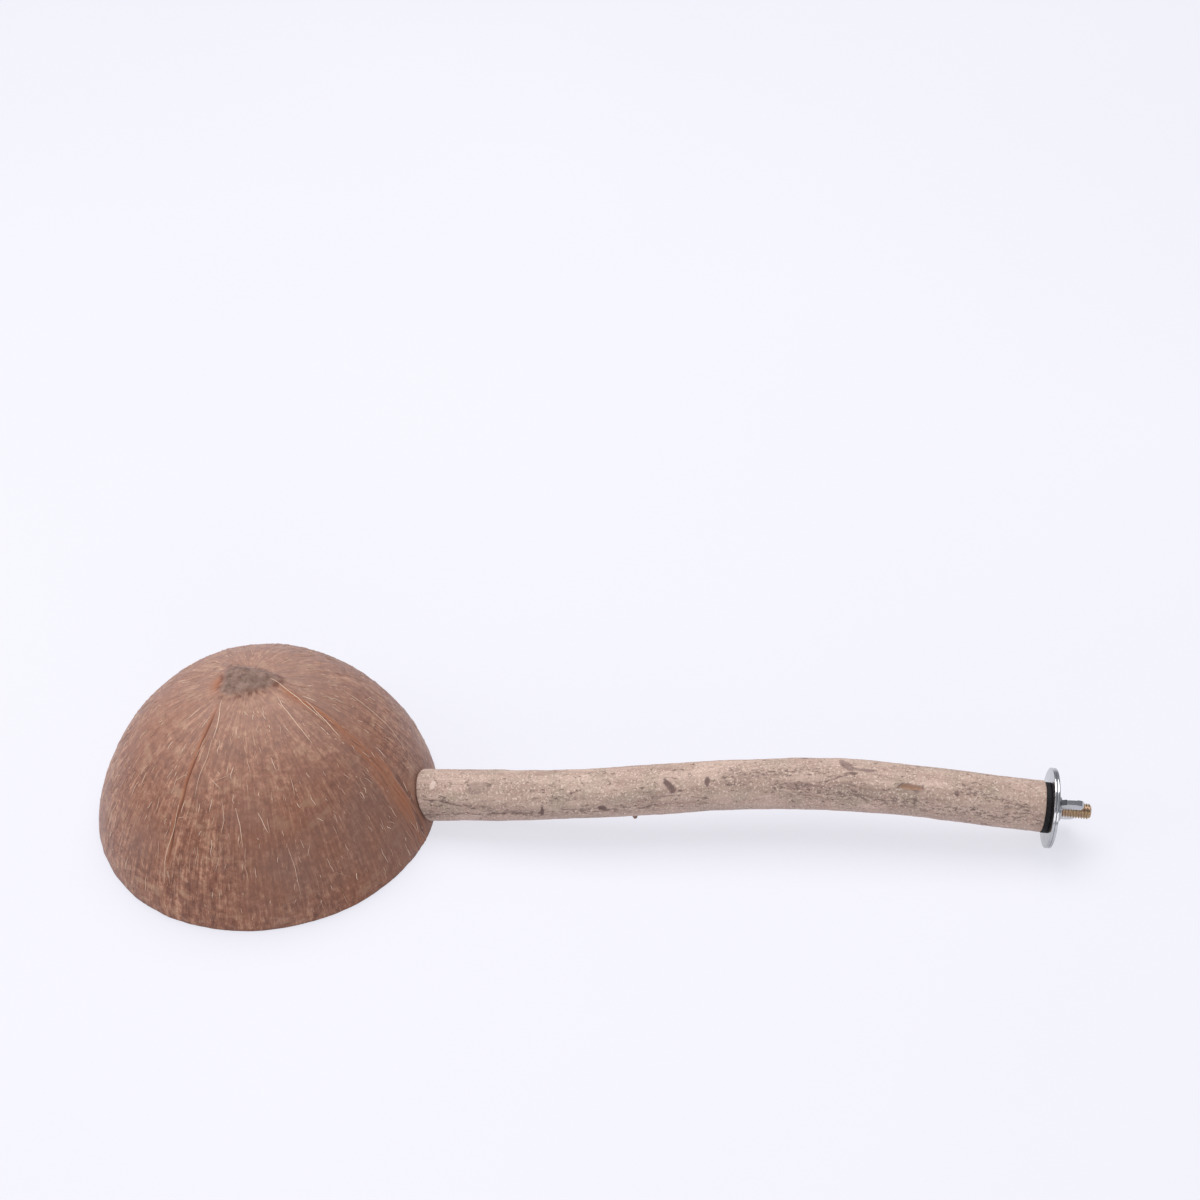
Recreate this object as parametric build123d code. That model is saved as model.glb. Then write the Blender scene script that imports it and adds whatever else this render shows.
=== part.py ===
"""Half a coconut shell on a natural wood perch, with a bolt clamp for the bars of a cage.

The part lies on a flat surface with the shell's open side down. Its frame has its origin at the centre of
the shell's rim, on that surface, +X towards the clamp end and +Z up. All sizes are in millimetres.
"""

import math
import os

from build123d import *

# Shell: half a coconut, cut across its middle, with three ridges that meet in a blunt tip
rim_diameter = 131.0
dome_height = 63.5
dome_fullness = 1.49  # exponent of the dome's profile: 2 is an ellipse, less is more pointed
tip_height = 66.0
tip_width = 11.0
tip_flare, tip_flare_power = 0.75, 0.8  # how the tip widens with the depth below it
tip_reach = 4.0  # depth below which it stays as wide, in tip-to-dome steps
shell_wall = 3.6
ridge_angles = ((-113.0, -137.0), (-15.0, 4.0), (116.0, 146.0))  # at the rim and at the tip
ridge_width_at_rim, ridge_width_at_tip = 15.0, 36.0  # degrees round the shell
ridge_rise_at_rim, ridge_rise_at_tip = 0.006, 0.50  # as shares of the radius there
ridge_climb = 20  # power of the height with which they rise and widen towards the tip

# Perch: a bent length of branch, lofted through round sections
perch_length = 231.2  # along X, from the shell's outside to the clamp end
perch_diameter = 19.0
perch_start_clearance = 1.31  # under the perch, at the shell
perch_start_sideways = -3.2
perch_start_share = 1.02  # ends' diameters, as shares of the perch's
perch_end_share = 1.03
# share of the length, sideways, rise above the line between the ends, share of the diameter
perch_bends = (
    (0.22, -5.2, 4.3, 0.985),
    (0.45, -0.9, 6.3, 0.97),
    (0.66, 2.2, 6.3, 1.02),
    (0.82, 1.2, 4.3, 1.00),
)
shell_joint_gap = 0.1  # between the shell and the perch's coped end
perch_end_chamfer = 0.4

# Hanger bolt: machine thread out of the perch, lag thread in the wood
bolt_diameter = 5.9
bolt_thread_depth = 0.5
bolt_pitch = 1.0
bolt_projection = 14.0  # past the outer washer
bolt_shank_diameter = 5.3
bolt_shank_length = 8.0
lag_diameter = 6.0
lag_thread_depth = 0.9
lag_pitch = 2.4
lag_length = 24.0
lag_point = 5.0
bolt_end_chamfer = 0.6
bolt_tilt = 4.3  # degrees that the bolt points down
bolt_off_centre = 0.6  # the bolt's axis is this far below the wood's centre

# Washers
washer_diameter = 30.0
washer_thickness = 1.0
washer_bore_clearance = 0.3  # all round the bolt
washer_edge = 0.15
rubber_diameter = 19.0
rubber_thickness = 2.0
rubber_bore_clearance = 0.05
clamp_gap = 0.03  # between the faces that the wing nut draws together

# Wing nut
nut_base_wall = 2.35  # from the bolt's crest to the outside
nut_top_wall = 1.65
nut_height = 2.8
nut_thread_clearance = 0.08
wing_span = 24.0
wing_height = 9.6
wing_thickness = 2.4
wing_lobe_radius = 2.6
wing_root_height = 0.6
wing_root_depth = 1.2  # how far a wing runs into the hub
wing_inner_lean = 0.9  # how far the wing's inner edge leans out over its height
wing_inner_corner = 1.0
wing_foot_inset, wing_foot_height = 2.4, 1.2  # the end of the wing's lower edge, in from its reach
wing_heel_inset, wing_heel_height = 0.6, 3.2  # the start of its outer edge
wing_angle = 31.0  # degrees from upright, towards -Y

# Shell screw: from inside the shell into the perch's end, on a plain washer
screw_diameter = 4.0
screw_thread_depth = 0.6
screw_pitch = 1.8
screw_shank = 5.5  # plain length under the head
screw_thread = 20.0
screw_point = 3.5
screw_head_diameter = 8.0
screw_head_height = 2.8
screw_head_rounding = 1.4
screw_hole_clearance = 0.25  # all round the screw, in the shell's wall
screw_washer_clearance = 0.15  # and in its washer
screw_washer_diameter = 12.0
screw_washer_thickness = 0.9
spot_face_depth = 0.9  # cut into the inside of the wall, so that the washer sits flat
spot_face_clearance = 0.5  # round the washer
wall_slant = 1.15  # length of the screw's way through the leaning wall, for each unit of its thickness
slot_length, slot_width, slot_depth = 5.0, 1.1, 1.7  # the head's cross recess

rim_radius = rim_diameter / 2
perch_start_height = perch_diameter / 2 * perch_start_share + perch_start_clearance
bolt_root = bolt_diameter - 2 * bolt_thread_depth
lag_root = lag_diameter - 2 * lag_thread_depth
nut_base = bolt_diameter + 2 * nut_base_wall
nut_top = bolt_diameter + 2 * nut_top_wall
screw_root = screw_diameter - 2 * screw_thread_depth
stack = rubber_thickness + 2 * washer_thickness + clamp_gap  # from the wood to the nut's side of the washers
BASE = (Align.CENTER, Align.CENTER, Align.MIN)


def rod(diameter, length, start=0.0):
    """A round bar along +Z from a start height."""
    return Pos(0, 0, start) * Cylinder(diameter / 2, length, align=BASE)


# ---------------------------------------------------------------- shell


def dome_radius(height, radius, top):
    """Radius at a height of a dome with that rim radius and top height."""
    return radius * math.sqrt(max(0.0, 1 - (height / top) ** dome_fullness))


def outer_radius(height):
    """Radius of the shell's outside: the dome, running out into the blunt tip."""
    below_tip = min((tip_height - height) / (tip_height - dome_height), tip_reach)
    tip = tip_width / 2 * (1 + tip_flare * below_tip**tip_flare_power)
    dome = dome_radius(min(height, dome_height), rim_radius, dome_height)
    return (dome**4 + tip**4) ** 0.25


def ridge_rise(angle, height):
    """How far the three ridges lift the outside at an angle, as a share of its radius."""
    climb = (height / tip_height) ** ridge_climb

    def between(at_rim, at_tip):
        return at_rim + (at_tip - at_rim) * climb

    width = between(ridge_width_at_rim, ridge_width_at_tip)
    turns = [(angle - between(*ridge) + 180) % 360 - 180 for ridge in ridge_angles]
    rise = sum(math.exp(-((turn / width) ** 2)) for turn in turns)
    return between(ridge_rise_at_rim, ridge_rise_at_tip) * rise


def outer_section(height, spread, count=36):
    """The face across the shell's outside at a height."""
    points = []
    for k in range(count):
        angle = 360 * k / count
        r = outer_radius(height) * (1 + ridge_rise(angle, height)) + spread
        points.append((r * math.cos(math.radians(angle)), r * math.sin(math.radians(angle)), height))
    return make_face(Spline(*points, periodic=True))


def shell_outside(spread=0.0):
    """The solid inside the shell's outer surface, grown sideways by a spread."""
    shares = (0.0, 0.07, 0.16, 0.28, 0.42, 0.57, 0.71, 0.82, 0.89, 0.94, 0.975, 1.0)
    return loft([outer_section(tip_height * share, spread) for share in shares])


def shell_inside():
    """The hollow: the dome less the wall, turned about its axis."""
    radius, top = rim_radius - shell_wall, dome_height - shell_wall
    shares = (0.0, 0.07, 0.16, 0.3, 0.46, 0.62, 0.78, 0.9, 0.97)
    curve = Spline(*[(dome_radius(top * s, radius, top), 0, top * s) for s in shares], (0, 0, top))
    half = make_face([curve, Line((0, 0, top), (0, 0, 0)), Line((0, 0, 0), (radius, 0, 0))])
    return revolve(half, Axis.Z)


def make_shell():
    inside_wall = wall_seat()
    bore = inside_wall * rod(screw_diameter + 2 * screw_hole_clearance, 4 * shell_wall, -2 * shell_wall)
    spot_face_diameter = screw_washer_diameter + 2 * spot_face_clearance
    spot_face = inside_wall * rod(spot_face_diameter, 3 * shell_wall, -3 * shell_wall)
    return shell_outside() - shell_inside() - bore - spot_face


# ---------------------------------------------------------------- perch


def clamp_height():
    """Height of the bolt's axis at the wood, where the outer washer's rim stands on the surface."""
    tilt = math.radians(bolt_tilt)
    return washer_diameter / 2 * math.cos(tilt) + stack * math.sin(tilt)


def bolt_direction():
    tilt = math.radians(bolt_tilt)
    return Vector(math.cos(tilt), 0, -math.sin(tilt))


def perch_start_x():
    """Where the perch's axis meets the shell's outside."""
    return outer_radius(perch_start_height)


def perch_line():
    """The points of the perch's axis and the share of the diameter at each, from inside the wall outwards."""
    start = Vector(perch_start_x(), perch_start_sideways, perch_start_height)
    end = Vector(perch_start_x() + perch_length, 0, clamp_height() + bolt_off_centre)
    points, shares = [start], [perch_start_share]
    for along, sideways, rise, share in perch_bends:
        straight = start + (end - start) * along
        points.append(Vector(straight.X, sideways, straight.Z + rise))
        shares.append(share)
    first_run = (points[1] - start).normalized()
    points.insert(0, start - first_run * 3 * shell_wall)
    shares.insert(0, perch_start_share)
    return [*points, end], [*shares, perch_end_share]


def screw_seat():
    """The frame of the shell screw: origin on the shell's outside, +Z into the perch along its axis."""
    points, _ = perch_line()
    return Plane(origin=points[1], z_dir=points[2] - points[1])


def wall_seat():
    """The frame where the screw's washer sits, on the floor of the spot face inside the wall."""
    return Location(screw_seat().offset(spot_face_depth - shell_wall * wall_slant))


def clamp_frame():
    """The frame of the bolt: origin at the wood's end face, +Z out of the wood, +X up."""
    up = Vector(math.sin(math.radians(bolt_tilt)), 0, math.cos(math.radians(bolt_tilt)))
    end = Vector(perch_start_x() + perch_length, 0, clamp_height())
    return Location(Plane(origin=end, x_dir=up, z_dir=bolt_direction()))


def make_perch():
    points, shares = perch_line()
    path = Spline(*points, tangents=[points[1] - points[0], bolt_direction()])
    sections = []
    for point, share in zip(points, shares):
        direction = path % path.param_at_point(point)
        across = Plane(origin=point, z_dir=direction)
        sections.append(across * Circle(perch_diameter / 2 * share))
    wood = loft(sections)
    wood = chamfer(wood.faces().sort_by(Axis.X)[-1].edges(), perch_end_chamfer)
    wood -= shell_outside(shell_joint_gap)
    wood -= clamp_frame() * rod(bolt_shank_diameter, bolt_shank_length, -bolt_shank_length)
    lag_start = bolt_shank_length + lag_length - lag_point
    wood -= clamp_frame() * rod(lag_root, lag_start, -lag_start)
    return wood - Location(screw_seat()) * rod(screw_root, screw_reach() - screw_point, -shell_wall)


# ---------------------------------------------------------------- threads


def thread_outline(root, crest, pitch, start, length):
    """(radius, height) points down one side of a thread, which is drawn as a ring at each turn."""
    points = []
    for turn in range(int(length / pitch)):
        foot = start + turn * pitch
        points += [
            (root / 2, foot + 0.10 * pitch),
            (crest / 2, foot + 0.42 * pitch),
            (crest / 2, foot + 0.58 * pitch),
            (root / 2, foot + 0.90 * pitch),
        ]
    return points


def to_a_point(points, tip, length):
    """The same outline, narrowed over a length down to a tip's height."""
    return [(radius * min(1.0, 0.15 + 0.85 * (height - tip) / length), height) for radius, height in points]


def turned(points):
    """The solid of a (radius, height) outline turned about Z, closed along the axis."""
    bottom, top = points[0][1], points[-1][1]
    with BuildSketch(Plane.XZ) as side:
        with BuildLine():
            Polyline((0, bottom), *points, (0, top), close=True)
        make_face()
    return revolve(side.sketch, Axis.Z)


# ---------------------------------------------------------------- hardware


def make_hanger_bolt():
    tip = stack + bolt_projection
    lag_tip = -bolt_shank_length - lag_length
    lag = thread_outline(lag_root, lag_diameter, lag_pitch, lag_tip, lag_length)
    lag = to_a_point([(lag_root / 2, lag_tip), *lag], lag_tip, lag_point)
    shank = [(lag_root / 2, -bolt_shank_length), (bolt_shank_diameter / 2, -bolt_shank_length)]
    shank.append((bolt_shank_diameter / 2, 0.0))
    machine = thread_outline(bolt_root, bolt_diameter, bolt_pitch, 0.0, tip - bolt_end_chamfer)
    end = [(bolt_root / 2, 0.0), *machine, (bolt_root / 2, tip - bolt_end_chamfer)]
    end.append((bolt_root / 2 - bolt_end_chamfer, tip))
    return clamp_frame() * turned([*lag, *shank, *end])


def make_washer(outside, bore_clearance, thickness, start, edge=0.0):
    """A flat washer on the bolt's axis, its first face at a start height."""
    ring = rod(outside, thickness, start)
    if edge:
        ring = chamfer(ring.edges().filter_by(GeomType.CIRCLE), edge)
    return clamp_frame() * (ring - rod(bolt_diameter + 2 * bore_clearance, thickness + 2, start - 1))


def make_steel_washer(start):
    return make_washer(washer_diameter, washer_bore_clearance, washer_thickness, start, washer_edge)


def make_wing():
    """One wing, from inside the hub's wall out to its round lobe, standing on +X."""
    reach = wing_span / 2
    root = nut_base / 2 - wing_root_depth
    inner_top = root + wing_inner_lean
    lobe = (reach - wing_lobe_radius, wing_height - wing_lobe_radius)
    with BuildSketch(Plane.XZ) as wing:
        with BuildLine():
            Polyline(
                (root, wing_root_height),
                (nut_base / 2, wing_root_height),
                (reach - wing_foot_inset, wing_foot_height),
                (reach - wing_heel_inset, wing_heel_height),
                (reach, lobe[1]),
                (lobe[0], wing_height),
                (inner_top + wing_inner_corner, wing_height),
                (inner_top, wing_height - wing_inner_corner),
                (root, nut_height),
                close=True,
            )
        make_face()
        with Locations(lobe):
            Circle(wing_lobe_radius)
    return extrude(wing.sketch, wing_thickness / 2, both=True)


def make_wing_nut():
    hub = Cone(nut_base / 2, nut_top / 2, nut_height, align=BASE)
    hub -= rod(bolt_diameter + 2 * nut_thread_clearance, nut_height + 2, -1)
    for turn in (0, 180):
        hub += Rot(0, 0, turn) * make_wing()
    return clamp_frame() * Pos(0, 0, stack + clamp_gap) * Rot(0, 0, wing_angle) * hub


def screw_reach():
    """How far the screw's point stands past the shell's outside, into the perch."""
    through_wall = (wall_seat().position - screw_seat().origin).length
    return screw_shank + screw_thread - through_wall - screw_washer_thickness


def make_shell_screw():
    reach = screw_shank + screw_thread
    thread = thread_outline(screw_root, screw_diameter, screw_pitch, screw_shank, screw_thread)
    shank = [(screw_diameter / 2, 0.0), (screw_diameter / 2, screw_shank), (screw_root / 2, screw_shank)]
    thread = [*shank, *thread]
    upside_down = [(radius, -height) for radius, height in [*thread, (screw_root / 2, reach)]]
    shaft = [(radius, -height) for radius, height in to_a_point(upside_down, -reach, screw_point)]
    head = rod(screw_head_diameter, screw_head_height, -screw_head_height)
    head = fillet(head.edges().filter_by(GeomType.CIRCLE).sort_by(Axis.Z)[0], screw_head_rounding)
    slot = Box(slot_length, slot_width, slot_depth, align=BASE)
    slot += Box(slot_width, slot_length, slot_depth, align=BASE)
    head -= Pos(0, 0, -screw_head_height) * slot
    return wall_seat() * Pos(0, 0, -screw_washer_thickness) * (head + turned(shaft))


def make_screw_washer():
    ring = rod(screw_washer_diameter, screw_washer_thickness, -screw_washer_thickness)
    bore_diameter = screw_diameter + 2 * screw_washer_clearance
    bore = rod(bore_diameter, 2 * screw_washer_thickness, -1.5 * screw_washer_thickness)
    return wall_seat() * (ring - bore)


def main():
    nodes = {
        "coconut_shell": make_shell(),
        "perch_branch": make_perch(),
        "hanger_bolt": make_hanger_bolt(),
        "rubber_washer": make_washer(rubber_diameter, rubber_bore_clearance, rubber_thickness, 0),
        "inner_washer": make_steel_washer(rubber_thickness),
        "outer_washer": make_steel_washer(rubber_thickness + washer_thickness + clamp_gap),
        "wing_nut": make_wing_nut(),
        "shell_screw": make_shell_screw(),
        "screw_washer": make_screw_washer(),
    }
    os.makedirs("parts", exist_ok=True)
    for name, shape in nodes.items():
        export_step(shape, f"parts/{name}.step")


main()
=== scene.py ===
"""The looks of a half coconut shell on a natural wood cage perch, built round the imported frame.

Lengths are in millimetres until a mesh is made, and in metres after that.
"""

import itertools
import math
import random

import bpy
import numpy as np
from mathutils import Matrix, Vector


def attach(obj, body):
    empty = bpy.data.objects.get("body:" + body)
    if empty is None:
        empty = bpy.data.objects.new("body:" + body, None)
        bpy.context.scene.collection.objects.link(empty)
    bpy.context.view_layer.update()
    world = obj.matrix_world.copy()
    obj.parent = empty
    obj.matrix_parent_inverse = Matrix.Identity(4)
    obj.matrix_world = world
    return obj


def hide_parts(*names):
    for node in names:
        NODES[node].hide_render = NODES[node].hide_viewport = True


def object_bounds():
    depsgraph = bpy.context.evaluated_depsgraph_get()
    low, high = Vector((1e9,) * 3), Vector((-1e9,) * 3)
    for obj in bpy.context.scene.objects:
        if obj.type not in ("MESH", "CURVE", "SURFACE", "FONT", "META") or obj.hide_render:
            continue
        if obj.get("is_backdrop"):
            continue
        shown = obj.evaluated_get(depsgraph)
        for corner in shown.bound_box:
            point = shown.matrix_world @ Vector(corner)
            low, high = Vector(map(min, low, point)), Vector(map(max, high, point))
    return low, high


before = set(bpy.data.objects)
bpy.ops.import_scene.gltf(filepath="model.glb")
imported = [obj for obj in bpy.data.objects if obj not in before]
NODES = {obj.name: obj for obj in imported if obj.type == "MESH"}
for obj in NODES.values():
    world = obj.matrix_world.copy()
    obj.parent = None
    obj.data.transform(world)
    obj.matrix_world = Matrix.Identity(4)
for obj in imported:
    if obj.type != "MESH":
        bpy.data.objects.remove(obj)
cad_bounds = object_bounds()

MM = 0.001
BODY = "perch"

# Shell, as the CAD has it
RIM_RADIUS = 65.5
DOME_HEIGHT = 63.5
DOME_FULLNESS = 1.49
TIP_HEIGHT = 66.0
WALL = 3.6
SPOT_FACE_RADIUS = 6.5
SPOT_FACE_LEVEL = -3.24  # along the perch's axis, from the shell's outside

# The skin's own shell shapes
SHELL_ARC = 95.0  # length over the outside, from the rim to the middle of the tip
QUARTER = math.pi / 2  # the lean at the middle of the tip
RIDGES = ((-113.0, -145.0), (-15.0, 8.0), (116.0, 146.0))  # degrees at the rim and at the tip
TIP_FLAT, TIP_CORNER = 5.4, 9.4  # from the tip's centre to its sides and its corners

# Perch, as the CAD has it
PERCH_START = (63.24, -3.2, 11.0)
PERCH_LENGTH = 231.2
PERCH_DIAMETER = 19.0
PERCH_ENDS = (1.02, 1.03)  # the ends' diameters, as shares of the perch's
# share of the length, sideways, rise above the line between the ends, share of the diameter
PERCH_BENDS = (
    (0.22, -5.2, 4.3, 0.985),
    (0.45, -0.9, 6.3, 0.97),
    (0.66, 2.2, 6.3, 1.02),
    (0.82, 1.2, 4.3, 1.00),
)

# Clamp, as the CAD has it: places along the bolt are from the wood's end, and bores are radii
BOLT_TILT = math.radians(4.3)
BOLT_OFF_CENTRE = 0.6
BOLT_ROOT, BOLT_CREST, BOLT_PITCH = 2.42, 2.95, 1.0
BOLT_PROJECTION = 14.0
SHANK_RADIUS = 2.65
LAG_ROOT, LAG_CREST, LAG_PITCH, LAG_POINT = 2.1, 3.0, 2.4, 5
SHANK_END, LAG_END = -8.0, -32.0
RUBBER_THICKNESS, RUBBER_DIAMETER, RUBBER_BORE = 2.0, 19.0, 3.02
WASHER_THICKNESS, WASHER_DIAMETER, WASHER_BORE = 1.0, 30.0, 3.25
INNER_WASHER_START, OUTER_WASHER_START = 2.0, 3.03
STACK = 4.03
NUT_START = 4.06
WING_ANGLE = 31

CLAMP_X = PERCH_START[0] + PERCH_LENGTH
CLAMP_Z = WASHER_DIAMETER / 2 * math.cos(BOLT_TILT) + STACK * math.sin(BOLT_TILT)


# ---- camera, light and floor


def add_camera():
    """The camera looks down on the perch from its -Y side."""
    pitch, roll, heading = math.radians(40.92), math.radians(1.95), math.radians(6.1)
    turn = Matrix.Rotation(heading, 3, "Z")
    ahead = turn @ Vector((0, math.cos(pitch), -math.sin(pitch)))
    right = turn @ Vector((1, 0, 0))
    down = ahead.cross(right)
    across = math.cos(roll) * right + math.sin(roll) * down
    below = math.cos(roll) * down - math.sin(roll) * right
    data = bpy.data.cameras.new("camera")
    data.sensor_width = 36.0
    data.lens = 66.0
    data.clip_start, data.clip_end = 0.05, 20.0
    camera = bpy.data.objects.new("camera", data)
    turned = Matrix((across, -below, -ahead)).transposed().to_4x4()
    camera.matrix_world = Matrix.Translation(Vector((193.4, -579.8, 615.3)) * MM) @ turned
    bpy.context.scene.collection.objects.link(camera)
    bpy.context.scene.camera = camera


def add_area_light(name, place, target, size, power, colour):
    data = bpy.data.lights.new(name, "AREA")
    data.shape = "RECTANGLE"
    data.size, data.size_y = size
    data.energy = power
    data.color = colour
    light = bpy.data.objects.new(name, data)
    light.location = place
    light.rotation_euler = (Vector(target) - Vector(place)).to_track_quat("-Z", "Y").to_euler()
    bpy.context.scene.collection.objects.link(light)


def add_light():
    centre = (0.1, 0.0, 0.02)
    add_area_light("overhead", (0.0, 0.45, 1.2), centre, (1.4, 1.0), 17.0, (1.0, 0.99, 1.0))
    add_area_light("left_fill", (-1.2, -0.5, 0.9), centre, (1.0, 0.9), 7.5, (1.0, 0.99, 1.0))
    add_area_light("front_fill", (0.2, -1.5, 0.55), centre, (1.6, 0.7), 6.0, (1.0, 0.98, 0.98))
    world = bpy.data.worlds.new("studio")
    world.use_nodes = True
    shade = world.node_tree.nodes["Background"]
    shade.inputs["Color"].default_value = (0.90, 0.92, 1.0, 1)
    shade.inputs["Strength"].default_value = 0.42
    bpy.context.scene.world = world
    bpy.context.scene.view_settings.view_transform = "Standard"


# ---- materials


class Shader:
    """A node material, with short ways to add and link nodes."""

    def __init__(self, name):
        self.material = bpy.data.materials.new(name)
        self.material.use_nodes = True
        self.tree = self.material.node_tree
        self.surface = self.tree.nodes["Principled BSDF"]

    def add(self, kind, inputs=None, **settings):
        """A node with its settings; inputs holds values or other nodes' sockets, by name or number."""
        node = self.tree.nodes.new("ShaderNode" + kind)
        for key, value in settings.items():
            setattr(node, key, value)
        for key, value in (inputs or {}).items():
            self.give(node.inputs[key], value)
        return node

    def give(self, socket, value):
        if isinstance(value, bpy.types.NodeSocket):
            self.tree.links.new(value, socket)
        else:
            socket.default_value = value

    def set(self, **inputs):
        """Sets the surface's inputs, with underscores for the spaces in their names."""
        for key, value in inputs.items():
            self.give(self.surface.inputs[key.replace("_", " ")], value)

    def attribute(self, name, output="Fac"):
        return self.add("Attribute", attribute_name=name).outputs[output]

    def noise(self, vector, scale, detail=3.0, roughness=0.5):
        inputs = {"Vector": vector, "Scale": scale, "Detail": detail, "Roughness": roughness}
        return self.add("TexNoise", inputs).outputs["Fac"]

    def ramp(self, value, *stops):
        """A colour or grey ramp; each stop is (position, colour or grey)."""
        node = self.add("ValToRGB", {"Fac": value})
        elements = node.color_ramp.elements
        while len(elements) < len(stops):
            elements.new(1.0)
        for element, (position, colour) in zip(elements, stops):
            element.position = position
            element.color = (*colour, 1) if isinstance(colour, tuple) else (colour, colour, colour, 1)
        return node.outputs["Color"]

    def mix(self, share, first, second):
        """The first colour with a share of the second over it; the node's colour sockets go by number."""
        node = self.add("Mix", data_type="RGBA")
        self.give(node.inputs[0], share)
        for socket, colour in ((6, first), (7, second)):
            self.give(node.inputs[socket], (*colour, 1) if isinstance(colour, tuple) else colour)
        return node.outputs[2]

    def plus(self, first, second):
        return self.add("Math", {0: first, 1: second}, operation="ADD").outputs[0]

    def times(self, first, second):
        return self.add("Math", {0: first, 1: second}, operation="MULTIPLY").outputs[0]

    def scaled(self, vector, factors):
        return self.add("VectorMath", {0: vector, 1: factors}, operation="MULTIPLY").outputs[0]

    def bump(self, *heights):
        """Bumps the surface by (height socket, distance in mm, strength) layers."""
        normal = None
        for height, distance, strength in heights:
            inputs = {"Height": height, "Distance": distance * MM, "Strength": strength}
            if normal:
                inputs["Normal"] = normal
            normal = self.add("Bump", inputs).outputs["Normal"]
        self.set(Normal=normal)


def coconut_material():
    shader = Shader("coconut")
    grain = shader.attribute("grain", "Vector")
    top_grain = shader.attribute("top_grain", "Vector")
    place = shader.add("TexCoord").outputs["Object"]
    climb = shader.attribute("climb")
    near_top = shader.ramp(climb, (0.45, 0.0), (0.72, 1.0))

    def streaks(scale, detail, roughness):
        low = shader.noise(grain, scale, detail, roughness)
        high = shader.noise(top_grain, scale, detail, roughness)
        return shader.mix(near_top, low, high)

    coarse = streaks(0.75, 5.0, 0.62)
    fine = streaks(2.4, 4.0, 0.68)
    mottle = shader.noise(place, 420.0, 5.0, 0.72)
    body = shader.plus(shader.times(coarse, 0.5), shader.times(mottle, 0.5))
    colour = shader.ramp(
        body,
        (0.38, (0.125, 0.043, 0.026)),
        (0.46, (0.205, 0.081, 0.047)),
        (0.53, (0.285, 0.126, 0.077)),
        (0.63, (0.490, 0.268, 0.175)),
    )
    dashes = shader.ramp(fine, (0.59, 0.0), (0.66, 1.0))
    colour = shader.mix(shader.times(dashes, 0.65), colour, (0.56, 0.36, 0.255))
    pores = shader.ramp(fine, (0.30, 1.0), (0.40, 0.0))
    colour = shader.mix(shader.times(pores, 0.55), colour, (0.100, 0.040, 0.028))
    marble = shader.noise(shader.scaled(place, (1, 1, 2.6)), 95.0, 4.0, 0.6)
    colour = shader.mix(shader.ramp(marble, (0.55, 0.0), (0.66, 0.45)), colour, (0.430, 0.265, 0.170))
    colour = shader.mix(shader.ramp(marble, (0.36, 0.40), (0.46, 0.0)), colour, (0.160, 0.070, 0.048))
    patches = shader.noise(place, 24.0, 3.0, 0.55)
    warm = shader.ramp(patches, (0.46, 0.0), (0.70, 0.55))
    colour = shader.mix(warm, colour, (0.265, 0.098, 0.046))
    grey = shader.ramp(shader.noise(place, 19.0, 2.0, 0.5), (0.46, 0.0), (0.70, 0.55))
    colour = shader.mix(grey, colour, (0.205, 0.122, 0.098))
    # Painted highlight: the dome's colour turns lighter towards its top, where the light falls.
    painted_top_highlight = shader.ramp(climb, (0.45, 0.0), (0.85, 0.36))
    colour = shader.mix(painted_top_highlight, colour, (0.440, 0.290, 0.230))
    colour = shader.mix(shader.attribute("bundle"), colour, (0.330, 0.122, 0.056))
    tip_colour = shader.ramp(
        shader.noise(place, 420.0, 4.0, 0.6),
        (0.32, (0.130, 0.070, 0.050)),
        (0.50, (0.205, 0.125, 0.094)),
        (0.70, (0.285, 0.185, 0.145)),
    )
    colour = shader.mix(shader.attribute("tip"), colour, tip_colour)
    # Painted shade in the ridges' grooves, in the hollows between the cords and in the step at the foot of the
    # tip.
    colour = shader.mix(shader.attribute("crease_shade"), colour, (0.105, 0.030, 0.014))
    inner = shader.ramp(
        shader.noise(shader.scaled(place, (1, 1, 0.6)), 60.0, 5.0, 0.6),
        (0.35, (0.085, 0.036, 0.020)),
        (0.62, (0.190, 0.092, 0.052)),
    )
    colour = shader.mix(shader.attribute("inside"), colour, inner)
    sawn = shader.ramp(
        shader.noise(place, 1400.0, 3.0, 0.6),
        (0.35, (0.07, 0.028, 0.016)),
        (0.65, (0.24, 0.13, 0.08)),
    )
    colour = shader.mix(shader.attribute("sawn"), colour, sawn)
    rough = shader.ramp(coarse, (0.3, 0.58), (0.7, 0.80))
    shader.set(Base_Color=colour, Roughness=rough, Specular_IOR_Level=0.35)
    shader.set(Sheen_Weight=0.27, Sheen_Roughness=0.4, Sheen_Tint=(1.0, 0.95, 0.95, 1))
    fuzz = shader.noise(place, 2600.0, 2.0, 0.5)
    shader.bump((coarse, 0.22, 0.7), (mottle, 0.12, 0.8), (fine, 0.16, 0.8), (fuzz, 0.05, 0.4))
    return shader.material


def hair_material():
    shader = Shader("coconut_hair")
    tone = shader.attribute("tone")
    colour = shader.ramp(
        tone,
        (0.0, (0.30, 0.15, 0.10)),
        (0.55, (0.52, 0.33, 0.24)),
        (1.0, (0.80, 0.62, 0.48)),
    )
    shader.set(Base_Color=colour, Roughness=0.6, Specular_IOR_Level=0.3)
    return shader.material


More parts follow.
